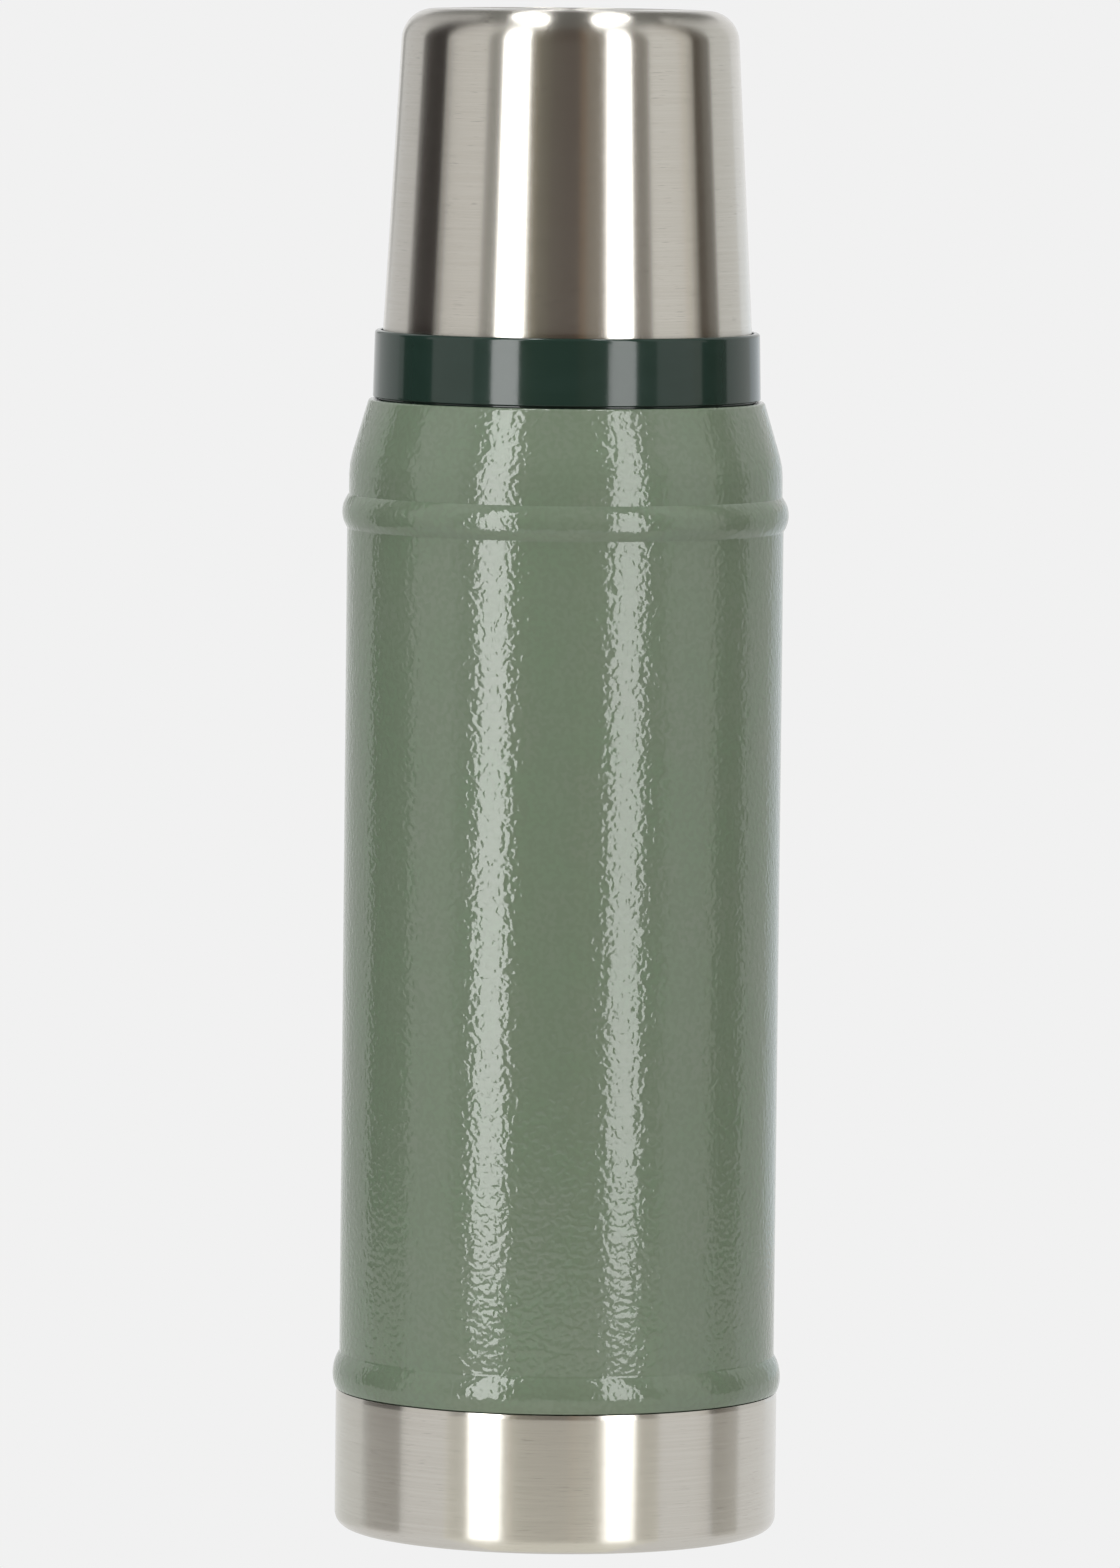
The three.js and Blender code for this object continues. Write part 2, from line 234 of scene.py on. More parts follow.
def new_object(name, points, faces, smooth_angle):
    mesh = bpy.data.meshes.new(name)
    mesh.from_pydata(points, [], faces)
    mesh.validate()
    mesh.update()
    made = bpy.data.objects.new(name, mesh)
    bpy.context.scene.collection.objects.link(made)
    mesh.shade_smooth()
    mesh.set_sharp_from_angle(angle=math.radians(smooth_angle))
    return made


def turned(name, outline, segments=160, relief=None, smooth_angle=35):
    """A closed outline, or one that starts and ends on the axis, turned about Z.

    relief(angle, radius, height) gives how far a point is pushed outwards, in millimetres.
    """
    area = sum(
        a[0] * b[1] - b[0] * a[1] for a, b in zip(outline, outline[1:] + outline[:1])
    )
    line = outline if area > 0 else outline[::-1]
    open_ends = line[0][0] == 0 and line[-1][0] == 0
    line = supported(line) if open_ends else supported(line + line[:1])[:-1]
    points = []
    rows = []
    for radius, height in line:
        row = []
        for k in range(1 if radius == 0 else segments):
            angle = TURN * k / segments
            r = radius + (relief(angle, radius, height) if relief else 0)
            row.append(len(points))
            points.append((r * math.cos(angle) * MM, r * math.sin(angle) * MM, height * MM))
        rows.append(row)
    if not open_ends:
        rows.append(rows[0])
    faces = []
    for low, high in zip(rows, rows[1:]):
        for k in range(segments):
            n = (k + 1) % segments
            if len(low) == 1 and len(high) == 1:
                continue
            if len(low) == 1:
                faces.append((low[0], high[n], high[k]))
            elif len(high) == 1:
                faces.append((low[k], low[n], high[0]))
            else:
                faces.append((low[k], low[n], high[n], high[k]))
    return new_object(name, points, faces, smooth_angle)


def smoothstep(x):
    t = max(0.0, min(1.0, x))
    return t * t * (3 - 2 * t)


def thread_relief(thread, wall, height, start_z, turns, inside=False, root=1.7, crest=0.9):
    """Ridges on a wall: a rounded trapezoid section that climbs a helix and fades at both ends."""
    run_out = 0.12

    def relief(angle, radius, z):
        if abs(radius - wall) > ON_WALL:
            return 0.0
        best = 0.0
        for start in range(thread["starts"]):
            begin = angle / TURN - start / thread["starts"]
            for lap in range(-1, math.ceil(turns) + 1):
                share = (begin + lap) / turns
                if not 0 < share < 1:
                    continue
                away = abs(z - start_z - thread["lead"] * share * turns)
                flank = (root / 2 - away) / (root / 2 - crest / 2)
                fade = smoothstep(min(share, 1 - share) / run_out)
                best = max(best, smoothstep(flank) * fade)
        return -height * best if inside else height * best

    return relief


# ---- node materials -------------------------------------------------------------------------


class Graph:
    """A material's node tree, with one short call per node."""

    def __init__(self, name):
        self.material = bpy.data.materials.new(name)
        self.material.use_nodes = True
        self.nodes = self.material.node_tree.nodes
        self.nodes.clear()
        self.links = self.material.node_tree.links
        self.output = self.nodes.new("ShaderNodeOutputMaterial")

    def add(self, kind, settings=None, **inputs):
        node = self.nodes.new("ShaderNode" + kind)
        for key, value in (settings or {}).items():
            setattr(node, key, value)
        for key, value in inputs.items():
            self.put(node, key, value)
        return node

    def put(self, node, key, value):
        """Link or set the input that is called key, with _ for a space, or i and its number."""
        socket = node.inputs[int(key[1:])] if key[1:].isdigit() else node.inputs[key.replace("_", " ")]
        if isinstance(value, bpy.types.NodeSocket):
            self.links.new(value, socket)
        else:
            socket.default_value = value

    def math(self, operation, a, b):
        return self.add("Math", {"operation": operation}, i0=a, i1=b).outputs[0]

    def place(self, scale=(1, 1, 1)):
        """Object coordinates in metres, scaled."""
        place = self.add("TexCoord").outputs["Object"]
        return self.add("Mapping", Vector=place, Scale=scale).outputs[0]

    def noise(self, vector, scale, detail=3.0, roughness=0.5, distortion=0.0):
        node = self.add(
            "TexNoise", Vector=vector, Scale=scale, Detail=detail, Roughness=roughness, Distortion=distortion
        )
        return node.outputs["Fac"]

    def span(self, value, low, high, to_low=0.0, to_high=1.0):
        """The value's stretch from low to high, eased onto another stretch."""
        node = self.add(
            "MapRange",
            {"interpolation_type": "SMOOTHSTEP"},
            Value=value,
            From_Min=low,
            From_Max=high,
            To_Min=to_low,
            To_Max=to_high,
        )
        return node.outputs[0]

    def tint(self, factor, first, second):
        """The first colour where the factor is 0, and the second where it is 1."""
        node = self.add("Mix", {"data_type": "RGBA"}, Factor=factor)
        for index, colour in ((6, first), (7, second)):
            if isinstance(colour, bpy.types.NodeSocket):
                self.links.new(colour, node.inputs[index])
            else:
                node.inputs[index].default_value = (*colour, 1)
        return node.outputs[2]

    def bump(self, height, distance):
        return self.add("Bump", Height=height, Distance=distance, Strength=1.0).outputs[0]

    def finish(self, **sockets):
        """The material, made of one shader with these inputs."""
        shader = self.add("BsdfPrincipled", **sockets)
        self.links.new(shader.outputs[0], self.output.inputs[0])
        return self.material


def hammertone_paint():
    """Glossy sage enamel that has drawn up into small smooth ripples."""
    g = Graph("hammertone_paint")
    place = g.place()
    ripples = g.noise(place, scale=960.0, detail=0.0, distortion=0.4)
    swell = g.noise(place, scale=230.0, detail=1.0)
    height = g.math("ADD", ripples, g.math("MULTIPLY", swell, 0.35))
    normal = g.bump(height, distance=0.00008)
    patches = g.noise(place, scale=70.0)
    colour = g.tint(g.span(patches, 0.35, 0.65), (0.149, 0.202, 0.138), (0.161, 0.200, 0.148))
    colour = g.tint(g.span(ripples, 0.3, 0.7), colour, (0.145, 0.187, 0.132))
    rough = g.span(ripples, 0.3, 0.7, 0.075, 0.1)
    return g.finish(Base_Color=colour, Roughness=rough, Normal=normal, IOR=1.54)


def turned_lines(g, around, along):
    """Coordinates whose noise draws lines round the axis, on walls and flat ends alike."""
    place = g.add("TexCoord").outputs["Object"]
    x, y, z = g.add("SeparateXYZ", Vector=place).outputs
    radius = g.math("POWER", g.math("ADD", g.math("MULTIPLY", x, x), g.math("MULTIPLY", y, y)), 0.5)
    across = g.math("MULTIPLY", g.math("ADD", z, radius), along)
    side = g.math("MULTIPLY", x, around)
    front = g.math("MULTIPLY", y, around)
    return g.add("CombineXYZ", X=side, Y=front, Z=across).outputs[0]


def brushed_steel(name, colour, darker, roughness, anisotropic, line_depth):
    """Steel with fine brushing round its axis and a few short scratches."""
    g = Graph(name)
    fine = g.noise(turned_lines(g, around=45.0, along=6500.0), scale=1.0, detail=2.0)
    broad = g.noise(turned_lines(g, around=12.0, along=1100.0), scale=1.0, detail=2.0)
    dashes = g.noise(turned_lines(g, around=300.0, along=5200.0), scale=1.0, detail=1.0)
    scratch = g.span(dashes, 0.68, 0.74)
    lines = g.math("ADD", g.math("MULTIPLY", fine, 0.8), g.math("MULTIPLY", broad, 0.2))
    height = g.math("SUBTRACT", lines, g.math("MULTIPLY", scratch, 0.8))
    normal = g.bump(height, line_depth)
    shade = g.tint(g.span(lines, 0.35, 0.65), colour, darker)
    shade = g.tint(g.math("MULTIPLY", scratch, 0.5), shade, (0.42, 0.40, 0.37))
    rough = g.span(lines, 0.3, 0.7, roughness * 0.94, roughness * 1.06)
    tangent = g.add("Tangent", {"direction_type": "RADIAL", "axis": "Z"}).outputs[0]
    return g.finish(
        Base_Color=shade,
        Metallic=1.0,
        Roughness=rough,
        Anisotropic=anisotropic,
        Anisotropic_Rotation=0.25,
        Tangent=tangent,
        Normal=normal,
    )


def moulded_plastic(name, colour, worn, roughness, grain_scale, grain_depth, ior=1.5):
    """A plastic moulding: slight flow marks in its colour, and a fine grain."""
    g = Graph(name)
    grain = g.noise(g.place(), grain_scale)
    flow = g.noise(g.place((1, 1, 3)), scale=55.0, distortion=0.8)
    shade = g.tint(g.span(flow, 0.4, 0.7), colour, worn)
    rough = g.span(grain, 0.3, 0.7, roughness * 0.85, roughness * 1.2)
    return g.finish(Base_Color=shade, Roughness=rough, Normal=g.bump(grain, grain_depth), IOR=ior)


def silicone_rubber():
    """Matt grey silicone with a little dust on it."""
    g = Graph("silicone")
    dust = g.noise(g.place(), scale=900.0, detail=4.0)
    shade = g.tint(g.span(dust, 0.4, 0.75), (0.36, 0.37, 0.35), (0.43, 0.44, 0.42))
    return g.finish(
        Base_Color=shade,
        Roughness=g.span(dust, 0.3, 0.7, 0.5, 0.62),
        Normal=g.bump(dust, distance=0.00001),
        Subsurface_Weight=0.15,
        Subsurface_Scale=0.001,
    )


def crinkled_foil():
    """Bright foil with sharp folds and finer creases."""
    g = Graph("foil")
    place = g.place((1, 1, 0.5))
    folds = g.add("TexVoronoi", {"feature": "DISTANCE_TO_EDGE"}, Vector=place, Scale=150.0).outputs[0]
    creases = g.noise(place, scale=420.0, detail=4.0, roughness=0.6)
    height = g.math("ADD", g.span(folds, 0.0, 0.25), creases)
    shade = g.tint(creases, (0.68, 0.70, 0.72), (0.56, 0.57, 0.59))
    return g.finish(Base_Color=shade, Metallic=1.0, Roughness=0.22, Normal=g.bump(height, distance=0.0003))


def open_foam():
    """Pale foam with open cells."""
    g = Graph("foam")
    cells = g.add("TexVoronoi", {"feature": "F1"}, Vector=g.place(), Scale=900.0).outputs["Distance"]
    shade = g.tint(g.span(cells, 0.3, 0.8), (0.80, 0.77, 0.69), (0.62, 0.58, 0.49))
    return g.finish(Base_Color=shade, Roughness=0.95, Normal=g.bump(cells, distance=0.0006))


def cured_adhesive():
    """A lumpy bead of hardened adhesive."""
    g = Graph("adhesive")
    lumps = g.noise(g.place(), scale=300.0, detail=4.0, distortion=0.5)
    shade = g.tint(lumps, (0.22, 0.21, 0.18), (0.33, 0.32, 0.29))
    rough = g.span(lumps, 0.3, 0.7, 0.5, 0.8)
    return g.finish(Base_Color=shade, Roughness=rough, Normal=g.bump(lumps, distance=0.0002))


def sintered_metal():
    """Coarse dark grains pressed into a solid."""
    g = Graph("getter_alloy")
    grains = g.noise(g.place(), scale=2200.0, detail=5.0, roughness=0.65)
    shade = g.tint(grains, (0.06, 0.057, 0.052), (0.16, 0.15, 0.14))
    rough = g.span(grains, 0.3, 0.7, 0.55, 0.85)
    normal = g.bump(grains, distance=0.00006)
    return g.finish(Base_Color=shade, Metallic=0.7, Roughness=rough, Normal=normal)


SLOTS = {
    "hammertone_paint": hammertone_paint(),
    "brushed_steel": brushed_steel(
        "brushed_steel",
        colour=(0.610, 0.587, 0.540),
        darker=(0.588, 0.564, 0.516),
        roughness=0.25,
        anisotropic=1.0,
        line_depth=0.0000002,
    ),
    "satin_steel": brushed_steel(
        "satin_steel",
        colour=(0.60, 0.60, 0.58),
        darker=(0.53, 0.53, 0.51),
        roughness=0.34,
        anisotropic=0.5,
        line_depth=0.000002,
    ),
    "green_plastic": moulded_plastic(
        "green_plastic",
        colour=(0.0122, 0.0285, 0.0218),
        worn=(0.0138, 0.0310, 0.0243),
        roughness=0.1,
        grain_scale=1600.0,
        grain_depth=0.0000006,
        ior=1.47,
    ),
    "stopper_plastic": moulded_plastic(
        "stopper_plastic",
        colour=(0.011, 0.024, 0.019),
        worn=(0.0145, 0.030, 0.0245),
        roughness=0.38,
        grain_scale=1900.0,
        grain_depth=0.000012,
    ),
    "silicone": silicone_rubber(),
    "foil": crinkled_foil(),
    "foam": open_foam(),
    "adhesive": cured_adhesive(),
    "getter_alloy": sintered_metal(),
}
BODY_OF = {node: body for body, nodes in frame["record"]["behaviour"]["bodies"].items() for node in nodes}
SLOT_OF = {part["node"]: part["material_slot"] for part in frame["record"]["subparts"]}


def stand_for(piece, node):
    """The piece takes the place, the body and the finish of a CAD node."""
    slot_name = SLOT_OF[node]
    piece.data.materials.append(SLOTS[slot_name])
    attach(piece, BODY_OF[node])
    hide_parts(node)


# ---- the flask ------------------------------------------------------------------------------


def outer_shell():
    """The painted body: a spigot in the base, two beads, a bend, the shoulder and its folded rim."""
    bend_z = 205.7
    bend = 15
    fold = 0.55
    rim = 1.0
    groove_z = SHOULDER_TOP_Z - 1.0
    inner = NECK_R + FIT + SHEET
    return turned(
        "painted_shell",
        pressed(
            [
                (SPIGOT_R, SPIGOT_BOTTOM_Z),
                (SPIGOT_R, SEAM_Z + FIT),
                (BODY_R + 0.35, SEAM_Z + FIT, 0.3),
                *rolled(LOWER_BEAD, BODY_R + 0.75, BODY_R),
                *rolled(UPPER_BEAD, BODY_R, SHOULDER_R),
                (SHOULDER_R, bend_z, bend),
                (SHOULDER_TOP_R, SHOULDER_TOP_Z, fold),
                (SHOULDER_TOP_R - rim, SHOULDER_TOP_Z, fold),
                (SHOULDER_TOP_R - 1.3 * rim, groove_z, 0.2),
                (inner + rim, groove_z, 0.5),
                (inner, SHOULDER_TOP_Z + 0.3),
            ]
        ),
        segments=WALL_SEGMENTS,
    )


def base_cup():
    """The bare steel base, with the ring it stands on, a recess and a pressed centre."""
    foot = 2.8
    rest_inner = BASE_R - foot - 4.2
    recess = 2.4
    centre_r = 12.8
    centre_z = recess + 0.8
    return turned(
        "steel_base",
        pressed(
            [
                (BASE_R - 0.15, SEAM_Z),
                (BASE_R, SEAM_Z - 0.8, 1),
                (BASE_R, 0, foot),
                (rest_inner, 0, 1.0),
                (rest_inner - 1.4, recess, 1.0),
                (centre_r + 1.2, recess, 0.6),
                (centre_r, centre_z, 0.6),
                (0, centre_z),
            ],
            -SHEET,
        ),
        segments=WALL_SEGMENTS,
    )


def neck_ring():
    """The steel neck with the thread that the cup screws onto."""
    taper_z = 233
    taper_top_z = 237
    wall = [
        (NECK_R, bottom("neck_ring")),
        (NECK_R, taper_z, 3),
        (LIP_R, taper_top_z, 2),
        (LIP_R, MOUTH_Z),
    ]
    relief = thread_relief(
        CUP_THREAD, NECK_R, height=1.2, start_z=NECK_THREAD_Z, turns=12 / 28, root=2.6, crest=0.5
    )
    outline = dense(pressed(wall), NECK_THREAD_Z - 2, NECK_THREAD_Z + 7, wall=NECK_R)
    return turned("threaded_neck", outline, THREAD_SEGMENTS, relief, smooth_angle=50)


def vessel_neck():
    """The vessel's shoulder, the gasket's ledge, the threaded bore and the lip."""
    shoulder_z = 204
    throat_z = 212.5
    wall = [
        (VESSEL_R, VESSEL_WELD_Z + FIT),
        (VESSEL_R, shoulder_z, 8),
        (THROAT_R + SHEET, throat_z, 2),
        (THROAT_R + SHEET, LEDGE_Z - SHEET, 0.5),
        (BORE_R + SHEET, LEDGE_Z - SHEET, 0.5),
        (BORE_R + SHEET, MOUTH_Z - SHEET, 0.9),
        (LIP_R - SHEET - FIT, MOUTH_Z - SHEET),
    ]
    relief = thread_relief(
        STOPPER_THREAD, BORE_R, height=1.1, start_z=BORE_THREAD_Z, turns=1, inside=True, root=2.0, crest=0.7
    )
    outline = dense(pressed(wall), BORE_THREAD_Z - 2, BORE_THREAD_Z + 10, wall=BORE_R)
    return turned("threaded_mouth", outline, THREAD_SEGMENTS, relief, smooth_angle=50)


def inner_vessel():
    inside = VESSEL_R - SHEET
    return turned(
        "vessel_tube",
        [
            (inside, VESSEL_BOTTOM_Z),
            (VESSEL_R, VESSEL_BOTTOM_Z),
            (VESSEL_R, VESSEL_WELD_Z),
            (inside, VESSEL_WELD_Z),
        ],
    )


def inner_bottom():
    outside = reach("inner_bottom")
    centre_z = top("inner_bottom")
    floor_z = centre_z - 0.6
    return turned(
        "vessel_bottom",
        pressed(
            [
                (outside, VESSEL_BOTTOM_Z),
                (outside, floor_z, 1.2),
                (15, floor_z, 6),
                (9, centre_z, 6),
                (0, centre_z),
            ]
        ),
    )


def outer_bottom():
    """The disc that closes the vacuum, with a dimple round its evacuation hole."""
    outside = reach("outer_bottom")
    low = bottom("outer_bottom")
    step_z = low + 1.6
    dimple_z = low + 2.8
    hole_r = 1.4
    return turned(
        "vacuum_bottom",
        pressed(
            [
                (outside, top("outer_bottom")),
                (outside, low, 2),
                (13, low, 2),
                (10, step_z, 1),
                (6.2, step_z, 0.6),
                (5.2, dimple_z, 0.6),
                (hole_r, dimple_z),
            ],
            -SHEET,
        ),
    )


def vacuum_seal_bead():
    """A flat bead in the dimple, with a plug that stands in the hole."""
    low = bottom("vacuum_seal_bead")
    bead_z = low + 1.3
    plug_z = low + 2.6
    plug_r = 1
    bead = [(0, low), (3.9, low + 0.2, 1), (4.5, bead_z, 0.3)]
    plug = [(plug_r, bead_z), (plug_r, plug_z), (0, plug_z)]
    return turned("brazed_bead", rounded(bead + plug), segments=48)


def radiation_foil():
    """A loose wrap of foil, wavy round the vessel."""
    outside = reach("radiation_foil")
    low = bottom("radiation_foil")
    high = top("radiation_foil")
    steps = 60
    wall = 0.1

    def waves(angle, radius, z):
        return 0.08 * math.sin(9 * angle + z * 0.35) + 0.06 * math.sin(23 * angle - z * 0.21)

    outer = [(outside - 0.15, low + (high - low) * k / steps) for k in range(steps + 1)]
    inner = [(r - wall, z) for r, z in reversed(outer)]
    return turned("foil_wrap", outer + inner, segments=200, relief=waves)


def getter_pellet():
    low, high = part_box("getter_pellet")
    centre = (low + high) / 2
    radius = (high.x - low.x) / 2 / MM
    half = (high.z - low.z) / 2 / MM
    made = turned(
        "getter_tablet",
        rounded([(0, -half), (radius, -half, 0.3), (radius, half, 0.3), (0, half)]),
        segments=48,
    )
    made.data.transform(Matrix.Translation(centre))
    return made


def base_bond_ring():
    inner = SPIGOT_R + 0.2
    outer = reach("base_bond_ring")
    low = bottom("base_bond_ring")
    high = top("base_bond_ring")

    def lumps(angle, radius, z):
        return 0.05 * math.sin(17 * angle + z) * math.sin(5 * angle)

    return turned("bond_bead", ring_section(inner, outer, low, high, 0.15), relief=lumps)


# ---- the stopper ----------------------------------------------------------------------------

STOPPER_R = 24.2
STEM_R = 20.6
STOPPER_WALL = 2.4


def stopper_body():
    """The threaded barrel and its stem, with a pour channel down each side of the thread."""
    stem_z = bottom("stopper_body")
    shoulder = GASKET_TOP_Z + FIT
    cavity_top = top("stopper_body")
    channel_top = FLANGE_Z - 1
    outline = dense(
        rounded(
            [
                (STEM_R - STOPPER_WALL, stem_z),
                (STEM_R, stem_z, 0.3),
                (STEM_R, shoulder),
                (STOPPER_R, shoulder, 0.4),
                (STOPPER_R, cavity_top),
                (STOPPER_R - STOPPER_WALL, cavity_top),
                (STOPPER_R - STOPPER_WALL, shoulder + STOPPER_WALL),
                (STEM_R - STOPPER_WALL, shoulder + STOPPER_WALL),
            ],
            True,
        ),
        shoulder,
        channel_top + 0.5,
    )
    ridge = thread_relief(
        STOPPER_THREAD, STOPPER_R, height=1.2, start_z=BORE_THREAD_Z - MESH_DROP, turns=1
    )
    channel_width = 10
    channel_depth = 1.7
    half_channel = math.asin(channel_width / 2 / STOPPER_R)
    edge = math.radians(1.6)
    top_run_out = 0.6

    def relief(angle, radius, z):
        if abs(radius - STOPPER_R) > ON_WALL:
            return 0.0
        from_side = abs((angle + math.pi / 2) % math.pi - math.pi / 2)
        across = smoothstep((half_channel + edge / 2 - from_side) / edge)
        up = smoothstep((channel_top - z) / top_run_out)
        channel = across * up
        return ridge(angle, radius, z) * (1 - channel) - channel_depth * channel

    return turned("stopper_barrel", outline, segments=300, relief=relief, smooth_angle=50)


def stopper_plug():
    """The disc that closes the stem, with a shallow hollow underneath."""
    stem_z = bottom("stopper_body")
    low = bottom("stopper_plug")
    hollow_z = low + 0.6
    plug_r = reach("stopper_plug")
    return turned(
        "stopper_end",
        rounded(
            [
                (0, hollow_z),
                (12, hollow_z, 1),
                (13, low, 0.6),
                (plug_r, low, 1.4),
                (plug_r, LEDGE_Z, 0.3),
                (STEM_R + FIT, LEDGE_Z),
                (STEM_R + FIT, stem_z - FIT),
                (0, stem_z - FIT),
            ]
        ),
    )


def stopper_foam():
    low = bottom("stopper_foam")
    high = top("stopper_foam")
    narrow = STEM_R - STOPPER_WALL - FIT
    wide = STOPPER_R - STOPPER_WALL - FIT
    step_z = 223.6
    edge = 0.6
    stem = [(0, low), (narrow, low, edge), (narrow, step_z)]
    barrel = [(wide, step_z, edge), (wide, high, edge), (0, high)]
    return turned("stopper_filling", rounded(stem + barrel))


def stopper_cap():
    """The knob: finger flutes, a rounded top edge, a shallow dished top and a moulding gate's mark."""
    flutes = 14
    flute_depth = 0.6
    flute_r = 24.9
    run_out = 1.2
    grip_r = CAP_R - 1.8
    flange_top = FLANGE_Z + 1.6
    inside = STOPPER_R + 0.5
    ceiling_z = STOPPER_TOP_Z - 3
    dish_z = STOPPER_TOP_Z - 0.9
    gate = 0.3
    gate_r = 2.2
    outline = rounded(
        [
            (0, dish_z - gate),
            (gate_r, dish_z - gate, 0.1),
            (gate_r + gate, dish_z, 0.1),
            (18.5, dish_z, 1.2),
            (20.2, STOPPER_TOP_Z, 1.0),
            (grip_r, STOPPER_TOP_Z, 1.8),
            (grip_r, flange_top, 0.5),
            (CAP_R, flange_top, 0.6),
            (CAP_R, FLANGE_Z, 0.4),
            (inside, FLANGE_Z),
            (inside, ceiling_z),
            (0, ceiling_z),
        ]
    )

    def fluted(angle, radius, z):
        up = smoothstep((z - flange_top) / run_out)
        out = smoothstep((radius - flute_r) / run_out)
        return flute_depth * math.cos(flutes * angle) * up * out

    line = dense(outline, flange_top - 0.5, STOPPER_TOP_Z - 1.5, step=0.8)
    return turned("stopper_knob", line, segments=24 * flutes, relief=fluted)


def stopper_gasket():
    return turned("gasket", ring_section(STEM_R + 0.4, STOPPER_R, GASKET_Z, GASKET_TOP_Z, 0.3, 0.9))


def drip_ring():
    low = bottom("drip_ring")
    high = top("drip_ring")
    return turned("drip_seal", ring_section(BORE_R + 0.9, CAP_R, low, high, 0.4, 0.5))


# ---- the cup --------------------------------------------------------------------------------

CUP_TOP_R = 32.1
CUP_RIM_R = reach("cup_shell")


def cup_shell():
    """The outer wall: a taper with a rounded top edge."""
    edge = 6.1
    wall = [(CUP_RIM_R, RIM_Z), (CUP_TOP_R, HEIGHT, edge), (0, HEIGHT)]
    return turned("steel_cup", pressed(wall), segments=WALL_SEGMENTS)


def cup_liner():
    """The inner wall, flared at its rim."""
    flare = 0.7
    edge = 5
    wall = [
        (LINER_RIM_R, LINER_RIM_Z),
        (LINER_RIM_R - flare, LINER_RIM_Z + flare, 1),
        (30.6, LINER_TOP_Z, edge),
        (0, LINER_TOP_Z),
    ]
    return turned("cup_lining", pressed(wall), segments=192)


def cup_collar():
    """The moulded ring: the cup's thread, a skirt that dips into the shoulder's groove, a socket."""
    inside = 34.9
    draft = 0.3
    pocket = 227
    skirt_r = SHOULDER_TOP_R - 1.7
    skirt_z = SHOULDER_TOP_Z - 0.3
    socket = CUP_RIM_R + FIT
    outline = rounded(
        [
            (inside, skirt_z, 0.3),
            (skirt_r, skirt_z, 0.2),
            (skirt_r, COLLAR_Z, 0.1),
            (COLLAR_R, COLLAR_Z, 0.3),
            (COLLAR_R - draft, COLLAR_TOP_Z, 0.6),
            (socket, COLLAR_TOP_Z, 0.2),
            (socket, pocket),
            (inside, pocket),
        ],
        True,
    )
    start = NECK_THREAD_Z - MESH_DROP
    relief = thread_relief(CUP_THREAD, inside, height=1.3, start_z=start, turns=11 / 28, inside=True)
    line = dense(outline + outline[:1], start - 1, start + 7, wall=inside)[:-1]
    return turned("cup_ring", line, THREAD_SEGMENTS, relief, smooth_angle=50)


def cup_seal_ring():
    inner = 34.95
    outer = reach("cup_seal_ring")
    low = bottom("cup_seal_ring")
    high = top("cup_seal_ring")
    return turned("rim_seal", ring_section(inner, outer, low, high, 0.2))


for make in (
    outer_shell,
    base_cup,
    neck_ring,
    vessel_neck,
    inner_vessel,
    inner_bottom,
    outer_bottom,
    vacuum_seal_bead,
    radiation_foil,
    getter_pellet,
    base_bond_ring,
    stopper_body,
    stopper_plug,
    stopper_foam,
    stopper_cap,
    stopper_gasket,
    drip_ring,
    cup_shell,
    cup_liner,
    cup_collar,
    cup_seal_ring,
):
    stand_for(make(), make.__name__)

# The getter's clip keeps its CAD mesh and gets the satin steel.
clip = frame["nodes"]["getter_clip"]
clip.data.materials.clear()
clip.data.materials.append(SLOTS["satin_steel"])


# ---- studio ---------------------------------------------------------------------------------

PALE = 0.8796
CARD_DISTANCE = 0.5
CARD_STEP = 4  # degrees
LOW_CARD_DISTANCE = 0.49
LOW_CARD_TOP_Z = 0.24
STRIP_DISTANCE = 0.38
STRIP_FOOT_Z = 0.006
STRIP_TOP_Z = 0.545
FOOT_DIMMING = 6  # how many times dimmer a strip's foot is
CEILING_Z = 1.1
OVERHEAD_Z = 1.09
WHITE = (1, 1, 1)


def glow(name, colour, strength):
    """A material that only gives light."""
    material = bpy.data.materials.new(name)
    material.use_nodes = True
    nodes = material.node_tree.nodes
    nodes.clear()
    emission = nodes.new("ShaderNodeEmission")
    emission.inputs["Color"].default_value = (*colour, 1)
    emission.inputs["Strength"].default_value = strength
    output = nodes.new("ShaderNodeOutputMaterial")
    material.node_tree.links.new(emission.outputs[0], output.inputs[0])
    return material


def card(name, points, faces, colour, strength=1.0):
    """A lit or dark card of the studio. The flask reflects it, but the camera doesn't see it."""
    mesh = bpy.data.meshes.new(name)
    mesh.from_pydata(points, [], faces)
    made = bpy.data.objects.new(name, mesh)
    bpy.context.scene.collection.objects.link(made)
    mesh.materials.append(glow(name, colour, strength))
    made.visible_camera = False
    made.visible_shadow = False
    return made


def upright_card(name, start, end, colour, strength=1.0, distance=CARD_DISTANCE, low=0.0, high=1.0):
    """A curved card that stands round the flask; azimuth 0 is towards the camera, +X is positive."""
    steps = max(1, round(abs(end - start) / CARD_STEP))
    points = []
    for k in range(steps + 1):
        azimuth = math.radians(start + (end - start) * k / steps)
        x = distance * math.sin(azimuth)
        y = -distance * math.cos(azimuth)
        points += [(x, y, low), (x, y, high)]
    faces = [(2 * k, 2 * k + 2, 2 * k + 3, 2 * k + 1) for k in range(steps)]
    return card(name, points, faces, colour, strength)


def table_card(name, start, end, colour):
    """The stretch of tabletop that the base reflects between two azimuths of its wall."""
    height = 0.0005
    near = 0.005
    rim = []
    for away, azimuth in ((near, start), (CARD_DISTANCE, start), (CARD_DISTANCE, end), (near, end)):
        foot = math.radians(azimuth)
        x = BASE_R * MM * math.sin(foot) + away * math.sin(2 * foot)
        y = -BASE_R * MM * math.cos(foot) - away * math.cos(2 * foot)
        rim.append((x, y, height))
    return card(name, rim, [(0, 1, 2, 3)], colour)


